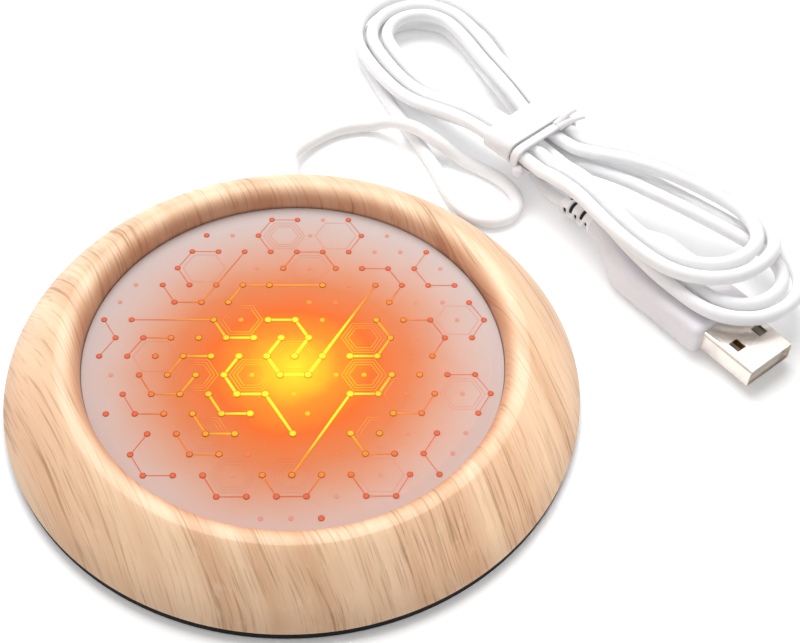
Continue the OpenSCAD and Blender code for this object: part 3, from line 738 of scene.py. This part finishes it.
def loop_point(i, q, aside):
    """Plan of the hank: i counts steps round a loop, q the strands inside this one."""
    out, side = q*PITCH, left_of(WAIST_DIR)
    waist_left = WAIST + (WAIST_HALF + out - WAIST_DRAW*PITCH)*side
    waist_right = WAIST - (WAIST_HALF + out)*side
    way_back = WAIST_DIR - 180

    def left_bend(heading):
        return LEFT_BEND + (LEFT_BEND_R + out)*left_of(heading)

    def right_bend(heading):
        return RIGHT_BEND + aside + (RIGHT_BEND_R + out)*left_of(heading)

    legs = [
        (BEND_STEPS, lambda t: left_bend(LEFT_IN + (LEFT_OUT - LEFT_IN)*t)),
        (LEFT_STEPS, lambda t: run(left_bend(LEFT_OUT), LEFT_OUT, waist_left, WAIST_DIR, t)),
        (RIGHT_STEPS, lambda t: run(waist_left, WAIST_DIR, right_bend(RIGHT_IN), RIGHT_IN, t)),
        (BEND_STEPS, lambda t: right_bend(RIGHT_IN + (RIGHT_OUT - RIGHT_IN)*t)),
        (RIGHT_STEPS, lambda t: run(right_bend(RIGHT_OUT), RIGHT_OUT, waist_right, way_back, t)),
        (LEFT_STEPS, lambda t: run(waist_right, way_back, left_bend(LEFT_IN), LEFT_IN, t))]
    for steps, leg in legs:
        if i < steps:
            return leg(i/steps)
        i -= steps


def lift(p):
    """How far the hank rises over the plug and over the cord that crosses under its waist."""
    d = p - PLUG_AT
    along, off = d @ unit(PLUG_DIR), abs(d @ left_of(PLUG_DIR))
    from_waist = abs((p - WAIST) @ unit(WAIST_DIR))
    beside = smooth((PLUG_REACH - off)/PLUG_RAMP)
    over_plug = PLUG_LIFT*smooth((along + PLUG_BEFORE)/(PLUG_BEFORE + 1))*beside
    return max(over_plug, WAIST_LIFT*smooth((WAIST_REACH - from_waist)/WAIST_RAMP))


def hank_point(n):
    t = n/LOOP_STEPS
    layer = smooth((t - TURN_IN)/CLIMB + 0.5)
    p = loop_point(n % LOOP_STEPS, abs(t - TURN_IN), FAN*layer)
    return Vector((*p, CORD_R + LAYER_STEP*layer + lift(p)))


def ahead(degrees):
    return Vector((*(CORD_D*unit(degrees)), 0))


def by_waist(p):
    """A point given along the waist's heading, aside to its left and up in cord radii."""
    return Vector((*(WAIST + p[0]*unit(WAIST_DIR) + p[1]*left_of(WAIST_DIR)), p[2]*CORD_R))


def cord_knots():
    """The points that the cord goes through, from the strain relief to the plug."""
    leave = Vector((0, RELIEF_END, CORD_Z))
    hank = [hank_point(n) for n in range(LOOP_STEPS*HANK_TURNS + BEND_STEPS + 1)]
    start, end = hank[0] - ahead(LEFT_IN), hank[-1] + ahead(LEFT_OUT)
    lead = [leave, leave + Vector((0, CORD_D, -0.1))]
    lead += [Vector((x, y + MOVED, z*CORD_R)) for x, y, z in LEAD] + [start - ahead(LEFT_IN), start]
    tail = [end, end + ahead(LEFT_OUT)] + [by_waist(p) for p in TAIL]
    into = ahead(PLUG_DIR)
    tail += [PLUG_START - 2.6*into - Vector((0, 0, 0.6)), PLUG_START - into, PLUG_START]
    return lead + hank + tail


def flowing(knots, step):
    """A smooth line through all knots, with a point about every step."""
    ends = [2*knots[0] - knots[1]] + knots + [2*knots[-1] - knots[-2]]
    line = []
    for a, b, c, d in zip(ends, ends[1:], ends[2:], ends[3:]):
        ab, bc, cd = ((q - p).length**0.5 for p, q in ((a, b), (b, c), (c, d)))
        leave = bc*((b - a)/ab - (c - a)/(ab + bc) + (c - b)/bc)
        arrive = bc*((c - b)/bc - (d - b)/(bc + cd) + (d - c)/cd)
        steps = max(1, round((c - b).length/step))
        for k in range(steps):
            t = k/steps
            line.append((2*t**3 - 3*t**2 + 1)*b + (t**3 - 2*t**2 + t)*leave
                        + (3*t**2 - 2*t**3)*c + (t**3 - t**2)*arrive)
    line.append(knots[-1])
    return [Vector((p.x, p.y, max(p.z, CORD_R))) for p in line]


def tube(line, radius, sides):
    """Rings of points round a line, carried along without twist."""
    sections = []
    side = None
    for i, p in enumerate(line):
        way = (line[min(i + 1, len(line) - 1)] - line[max(i - 1, 0)]).normalized()
        side = way.orthogonal() if side is None else side
        side = (side - way*(side @ way)).normalized()
        up = way.cross(side)
        angles = (2*math.pi*k/sides for k in range(sides))
        sections.append([p + radius*(math.cos(a)*side + math.sin(a)*up) for a in angles])
    return sections


class WARMER_OT_cord(bpy.types.Operator):
    """Power cord from the strain relief through the hank to the plug"""
    bl_idname = "warmer.cord"
    bl_label = "Cord"

    def execute(self, context):
        line = [p*MM for p in flowing(cord_knots(), 1.0)]
        points, faces = skin(tube(line, CORD_R*MM, 16))
        finish = moulded("white cord jacket", colours().cord_white, 0.45, 1500, 0.000012, 0.015, 0.15)
        solids = ["cord_lead", "cord_hank", "cord_tail"]
        cord = piece("power_cord", points, faces, finish, "white_cord", solids)
        made = ("hank_strap", "twist_tie", "plug_handle", "plug_sleeve", "painted_slot_shade")
        held = [bpy.data.objects[name] for name in made]
        held += [frame["nodes"][name] for name in ("plug_shell", "plug_tongue", "plug_contacts")]
        dress("cord_inner_end", finish)
        dress("strain_relief", moulded("white relief", colours().cord_white, 0.42, 900, 0.00002))
        return {"FINISHED"}


# ---------------------------------------------- ties
WAIST_Z = CORD_R + WAIST_LIFT
WAIST_CORNERS = [
    (-WAIST_HALF - 2*PITCH, WAIST_Z + LAYER_STEP), (-WAIST_HALF - PITCH, WAIST_Z),
    (WAIST_HALF + 1.05*PITCH, WAIST_Z), (WAIST_HALF + PITCH, WAIST_Z + LAYER_STEP)]
TIE_ROOM = 0.4
STRAP_W, STRAP_T, STRAP_AT = 7.0, 0.8, -5.5
TIE_W, TIE_T, TIE_TAIL = 1.8, 0.8, 5.5
TIE_AT = STRAP_AT + STRAP_W/2 + TIE_W/2 + 0.6
TIE_ROOT = 1.9
TIE_ENDS = [(-0.4, -4, 0.12), (0.6, -26, 0.2)]  # place along the band, heading, rise
TIE_STEPS, TIE_R, TIE_TAPER = 12, 0.75, 0.4  # of a free end, which tapers by this share
TIE_BOW, TIE_BEND = 0.9, 2.4  # height of its bow, and the bow's angle
KNOB_R = 1.2


def waist_outline(radius, steps=8):
    """The taut outline round the waist's outer strands, at a distance from their centres."""
    n = len(WAIST_CORNERS)
    outline = []
    for i, c in enumerate(WAIST_CORNERS):
        before, after = WAIST_CORNERS[i - 1], WAIST_CORNERS[(i + 1) % n]
        a0 = math.degrees(math.atan2(c[1] - before[1], c[0] - before[0])) - 90
        a1 = math.degrees(math.atan2(after[1] - c[1], after[0] - c[0])) - 90
        outline += arc(c, radius, a0, a0 + (a1 - a0) % 360, steps)
    return outline


def at_waist(along, across, z):
    p = WAIST + along*unit(WAIST_DIR) + across*left_of(WAIST_DIR)
    return Vector((p.x, p.y, z))*MM


def band(width, thickness, along, soft=0.25):
    """A closed band round the waist, its edges rounded by soft."""
    inner, outer = waist_outline(CORD_R + TIE_ROOM), waist_outline(CORD_R + TIE_ROOM + thickness)
    half, cut = width/2, soft*0.3
    rounded = [(-half, soft), (-half + cut, cut), (-half + soft, 0),
               (half - soft, 0), (half - cut, cut), (half, soft),
               (half, thickness - soft), (half - cut, thickness - cut), (half - soft, thickness),
               (-half + soft, thickness), (-half + cut, thickness - cut), (-half, thickness - soft)]
    sections = []
    for (a, b), (c, d) in zip(inner, outer):
        sections.append([at_waist(along + u, a + (c - a)*v/thickness, b + (d - b)*v/thickness)
                         for u, v in rounded])
    return skin(sections, closed=True)


def ball(centre, radius, steps=16):
    """A round knob."""
    rows = [(math.sin(math.pi*(i + 0.5)/steps), math.cos(math.pi*(i + 0.5)/steps)) for i in range(steps)]
    return skin([[centre + radius*Vector((r*math.cos(a), r*math.sin(a), z))
                  for a in (math.pi*k/steps for k in range(2*steps))] for r, z in rows])


def tie_end(aside, turn, rise):
    """One free end of the wire tie, bowed and thinner towards its tip."""
    heading = unit(WAIST_DIR + 90 + turn)
    top = WAIST_Z + LAYER_STEP + CORD_R + TIE_ROOM + TIE_T/2
    start = at_waist(TIE_AT + aside, TIE_ROOT, top)
    line = []
    for k in range(TIE_STEPS + 1):
        reach = TIE_TAIL*k/TIE_STEPS
        bow = TIE_BOW*math.sin(TIE_BEND*k/TIE_STEPS)
        line.append(start + Vector((*(heading*reach), reach*rise + bow))*MM)
    rings = zip(line, tube(line, TIE_R*MM, 12))
    return skin([[p + (q - p)*(1 - TIE_TAPER*k/TIE_STEPS) for q in ring]
                 for k, (p, ring) in enumerate(rings)])


class WARMER_OT_ties(bpy.types.Operator):
    """Soft strap and wire tie round the waist of the hank"""
    bl_idname = "warmer.ties"
    bl_label = "Ties"

    def execute(self, context):
        finish = moulded("white strap", srgb(230, 228, 230), 0.5, 1200, 0.00003, 0.02, 0.15)
        points, faces = band(STRAP_W, STRAP_T, STRAP_AT)
        piece("hank_strap", points, faces, finish, "white_strap", ["waist_strap"])
        points, faces = band(TIE_W, TIE_T, TIE_AT)
        low = WAIST_CORNERS[0][0] - CORD_R - TIE_ROOM - TIE_T/2
        knob = ball(at_waist(TIE_AT + TIE_W/2 + 0.5, low, WAIST_Z + LAYER_STEP/2), KNOB_R*MM)
        for more, skins in [*(tie_end(*end) for end in TIE_ENDS), knob]:
            faces += [tuple(len(points) + i for i in face) for face in skins]
            points += more
        piece("twist_tie", points, faces, finish, "white_strap", ["wire_tie"])
        return {"FINISHED"}


# ---------------------------------------------- plug
GRIP_W, GRIP_L, GRIP_ROUND = 15.8, 20.0, 1.2
GRIP_DRAW = 1.6  # the rounded end loses this many times the rounding's depth
GRIP_SQUARE = 0.62  # 0 keeps the section an ellipse, 1 makes it a rectangle
TAPER_L, TAPER_D, TAPER_STEPS = 14.4, 4.6, 32
END_STEPS = (GRIP_ROUND, 1.0, 0.8, 0.6, 0.4, 0.25, 0.12, 0.04, 0)  # back from the shell


def at_plug(x, y, z):
    """A point along the plug, aside and up from its axis, in metres."""
    p = PLUG_AT + x*unit(PLUG_DIR) + y*left_of(PLUG_DIR)
    return Vector((p.x, p.y, PLUG_START.z + z))*MM


def power(value, exponent):
    """A power that keeps the value's sign."""
    return math.copysign(abs(value)**exponent, value)


def grip_ring(x, sides=64):
    """Section of the grip at x: round at the cord, a rounded oblong at the shell."""
    u = smooth(x/TAPER_L)
    edge = max(0.0, x - TAPER_L - GRIP_L + GRIP_ROUND)
    shrink = GRIP_ROUND - math.sqrt(max(0.0, GRIP_ROUND**2 - edge*edge))
    w = TAPER_D + (GRIP_W - TAPER_D)*u - GRIP_DRAW*shrink
    h = TAPER_D + (GRIP_T - TAPER_D)*u - GRIP_DRAW*shrink
    n = 1 - GRIP_SQUARE*u
    ring = []
    for k in range(sides):
        a = 2*math.pi*(k + 0.5)/sides
        ring.append(at_plug(x, w/2*power(math.cos(a), n), h/2*power(math.sin(a), n)))
    return ring


# the third radius is that of a dark tube that paints the shade inside the sleeve's slots
SLEEVE_L, SLEEVE_R, SLOT_SHADE_R = 8.8, 2.4, 1.6
SLEEVE_TAPER = 0.16  # thinner by this share at the cord's end
SLEEVE_STEP = 0.1
GROOVES = [(1.5, 0), (3.0, 90), (4.5, 0), (6.0, 90), (7.5, 0)]  # place along the sleeve, side
GROOVE_W, GROOVE_DEEP = 1.25, 1.0
GROOVE_FACE = 0.5  # a slot is cut where the cosine to its side is above this
WALL_SLOPE, END_SLOPE = 2.5, 6  # how steeply a slot's walls and ends go down


def groove(x, angle):
    """Depth of the flexing slots, which alternate between the sides and the top and bottom."""
    deep = 0.0
    for at, face in GROOVES:
        near = 1 - abs(x - at)/(GROOVE_W/2)
        facing = abs(math.cos(angle - math.radians(face))) - GROOVE_FACE
        if near > 0 and facing > 0:
            deep = max(deep, GROOVE_DEEP*min(1.0, near*WALL_SLOPE)*min(1.0, facing*END_SLOPE))
    return deep


def sleeve_line():
    """The last stretch of the cord, up to the grip."""
    return flowing(cord_knots(), SLEEVE_STEP)[-round(SLEEVE_L/SLEEVE_STEP) - 1:]


def sleeve(line):
    """Slotted sleeve round the last stretch of the cord."""
    sides = 48
    sections = []
    for i, (p, ring) in enumerate(zip(line, tube(line, 1.0, sides))):
        x = SLEEVE_L*i/(len(line) - 1)
        size = SLEEVE_R*(1 - SLEEVE_TAPER + SLEEVE_TAPER*x/SLEEVE_L)*min(1.0, 0.86 + 0.5*x)
        sections.append([(p + (q - p)*(size - groove(x, 2*math.pi*k/sides)))*MM
                         for k, q in enumerate(ring)])
    return skin(sections)


class WARMER_OT_plug(bpy.types.Operator):
    """Moulded grip, metal shell, tongue and contacts"""
    bl_idname = "warmer.plug"
    bl_label = "Plug"

    def execute(self, context):
        c = colours()
        stations = [i*TAPER_L/TAPER_STEPS for i in range(TAPER_STEPS + 1)]
        stations += [TAPER_L + 1, TAPER_L + GRIP_L/2]
        stations += [TAPER_L + GRIP_L - back for back in END_STEPS]
        points, faces = skin([grip_ring(x) for x in stations])
        grip = moulded("moulded grip", c.grip_white, 0.4, 1100, 0.000012, 0.02)
        piece("plug_handle", points, faces, grip, "grip_plastic", ["plug_grip"])
        line = sleeve_line()
        white = moulded("white sleeve", c.cord_white, 0.4, 1100, 0.000012, 0.02)
        piece("plug_sleeve", *sleeve(line), white, "grip_plastic")
        # painted shade: a dark tube inside the sleeve stands in for the shade in the slots; the plug has no
        # such part
        shade_tube = skin([[q*MM for q in ring] for ring in tube(line[3:-3], SLOT_SHADE_R, 24)])
        dark = moulded("painted shade of slots", c.base_black, 0.7, 900, 0.00001)
        piece("painted_slot_shade", *shade_tube, dark, "black_plastic")
        dress("plug_shell", metal("nickel shell", c.shell_metal, 0.26, scale=9000, depth=0.0000002))
        dress("plug_tongue", moulded("white tongue", srgb(236, 234, 228), 0.5, 900, 0.00001))
        dress("plug_contacts", metal("gold contacts", srgb(226, 178, 92), 0.28))
        return {"FINISHED"}


# ---------------------------------------------- base and inner pieces
class WARMER_OT_base(bpy.types.Operator):
    """Base plate, feet, screws and everything inside the base"""
    bl_idname = "warmer.base"
    bl_label = "Base and inner pieces"

    def execute(self, context):
        black = moulded("black base", colours().base_black, 0.6, 1300, 0.00004, 0.05, 0.15)
        dress("base_plate", black)
        dress("cord_clamp", black)
        dress("rubber_feet", moulded("black rubber", srgb(28, 28, 29), 0.75, 2200, 0.00005, 0.05, 0.3))
        zinc = metal("zinc screws", srgb(205, 206, 204), 0.32)
        dress("base_screws", zinc)
        dress("clamp_screws", zinc)
        dress("heat_plate", metal("dull aluminium", srgb(112, 110, 108), 0.55, (0.05, 1, 1), 1500))
        dress("heater_film", moulded("amber film", srgb(206, 146, 48), 0.25, 800, 0.00001))
        dress("heater_foil", metal("etched foil", srgb(196, 160, 126), 0.3))
        dress("insulation_pad", moulded("white foam", srgb(232, 231, 226), 0.9, 1600, 0.0002, 0.04, 0.2))
        dress("thermal_cutout", moulded("ivory case", srgb(226, 218, 196), 0.45, 900, 0.00002))
        dress("lead_red", moulded("red lead", srgb(190, 32, 28), 0.35, 1200, 0.00001))
        dress("lead_black", moulded("black lead", srgb(30, 30, 30), 0.35, 1200, 0.00001))
        dress("solder_joints", metal("solder", srgb(206, 208, 212), 0.3))
        return {"FINISHED"}


# ---------------------------------------------- stage
# the camera: focal length and frame in pixels, places in millimetres, turns in degrees
FOCUS_PX, PHOTO_WIDTH = 1428.0, 800
SENSOR = 36
AIM = Vector((20.370, 15.038, 0))
EYE = Vector((1.510, -164.400, 208.658))
ROLL, TURN = 3.31, -6.0
FLOOR_HALF = 2.0


def lamp(name, place, aim, size, power_w, spread=180):
    """A round soft light whose beam opens by spread degrees."""
    light = bpy.data.lights.new(name, "AREA")
    light.shape = "DISK"
    light.size = size
    light.energy = power_w
    light.spread = math.radians(spread)
    made = bpy.data.objects.new(name, light)
    made.location = place
    made.rotation_euler = (Vector(aim) - Vector(place)).to_track_quat("-Z", "Y").to_euler()
    bpy.context.scene.collection.objects.link(made)


class WARMER_OT_stage(bpy.types.Operator):
    """Pale floor, soft light and the camera"""
    bl_idname = "warmer.stage"
    bl_label = "Stage"

    def execute(self, context):
        scene = context.scene
        scene.view_settings.view_transform = "Standard"
        mesh = bpy.data.meshes.new("floor")
        corners = [(x*FLOOR_HALF, y*FLOOR_HALF, 0) for x, y in ((-1, -1), (1, -1), (1, 1), (-1, 1))]
        mesh.from_pydata(corners, [], [(0, 1, 2, 3)])
        floor = bpy.data.objects.new("floor", mesh)
        scene.collection.objects.link(floor)
        pale = Finish("pale floor")
        mesh.materials.append(pale.surface(
            Base_Color=(0.93, 0.93, 0.93), Roughness=0.9, Specular_IOR_Level=0.1,
            Emission_Color=(1.0, 1.0, 1.0), Emission_Strength=0.12))

        world = bpy.data.worlds.new("soft studio")
        scene.world = world
        world.use_nodes = True
        sky = world.node_tree.nodes["Background"].inputs
        sky["Color"].default_value = (1, 1, 1, 1)
        sky["Strength"].default_value = 0.48
        lamp("top light", (-0.02, 0.40, 0.62), (0.02, 0.02, 0), 0.6, 5.4)
        lamp("side light", (-0.6, 0.1, 0.5), (0.0, 0.0, 0), 0.5, 0.8)
        lamp("cord light", (-0.029, -0.296, 0.333), (0.066, 0.066, 0), 0.06, 0.003, 14.5)
        lamp("front light", (0.28, -0.28, 0.28), (0.041, -0.029, 0.004), 0.05, 0.0018, 9.5)

        lens = bpy.data.cameras.new("camera")
        lens.sensor_width = SENSOR
        lens.lens = FOCUS_PX*SENSOR/PHOTO_WIDTH
        lens.clip_start = 0.01
        camera = bpy.data.objects.new("camera", lens)
        scene.collection.objects.link(camera)
        back = (EYE - AIM).normalized()
        flat = Matrix.Rotation(math.radians(TURN), 3, "Z") @ Vector((1, 0, 0))
        up = back.cross(flat)
        roll = math.radians(ROLL)
        right = flat*math.cos(roll) + up*math.sin(roll)
        high = up*math.cos(roll) - flat*math.sin(roll)
        camera.matrix_world = Matrix.Translation(EYE*MM) @ Matrix((right, high, back)).transposed().to_4x4()
        scene.camera = camera
        return {"FINISHED"}


# ---------------------------------------------- panel and registration
PIECES = [WARMER_OT_ring, WARMER_OT_face, WARMER_OT_base, WARMER_OT_ties, WARMER_OT_plug, WARMER_OT_cord,
          WARMER_OT_stage]


class WARMER_PT_panel(bpy.types.Panel):
    """Sizes, colours and pieces of the mug warmer"""
    bl_idname = "WARMER_PT_panel"
    bl_label = "Mug warmer"
    bl_space_type = "VIEW_3D"
    bl_region_type = "UI"
    bl_category = "Mug warmer"

    def draw(self, context):
        for group in (context.scene.warmer_sizes, context.scene.warmer_colours):
            box = self.layout.box()
            for key in group.__annotations__:
                box.prop(group, key)
        for operator in PIECES:
            self.layout.operator(operator.bl_idname)


CLASSES = [WarmerSizes, WarmerColours, *PIECES, WARMER_PT_panel]


def register():
    for c in CLASSES:
        bpy.utils.register_class(c)
    bpy.types.Scene.warmer_sizes = PointerProperty(type=WarmerSizes)
    bpy.types.Scene.warmer_colours = PointerProperty(type=WarmerColours)


def unregister():
    del bpy.types.Scene.warmer_colours
    del bpy.types.Scene.warmer_sizes
    for c in reversed(CLASSES):
        bpy.utils.unregister_class(c)


def main():
    register()
    for operator in PIECES:
        group, name = operator.bl_idname.split(".")
        getattr(getattr(bpy.ops, group), name)()


if __name__ == "__main__":
    main()
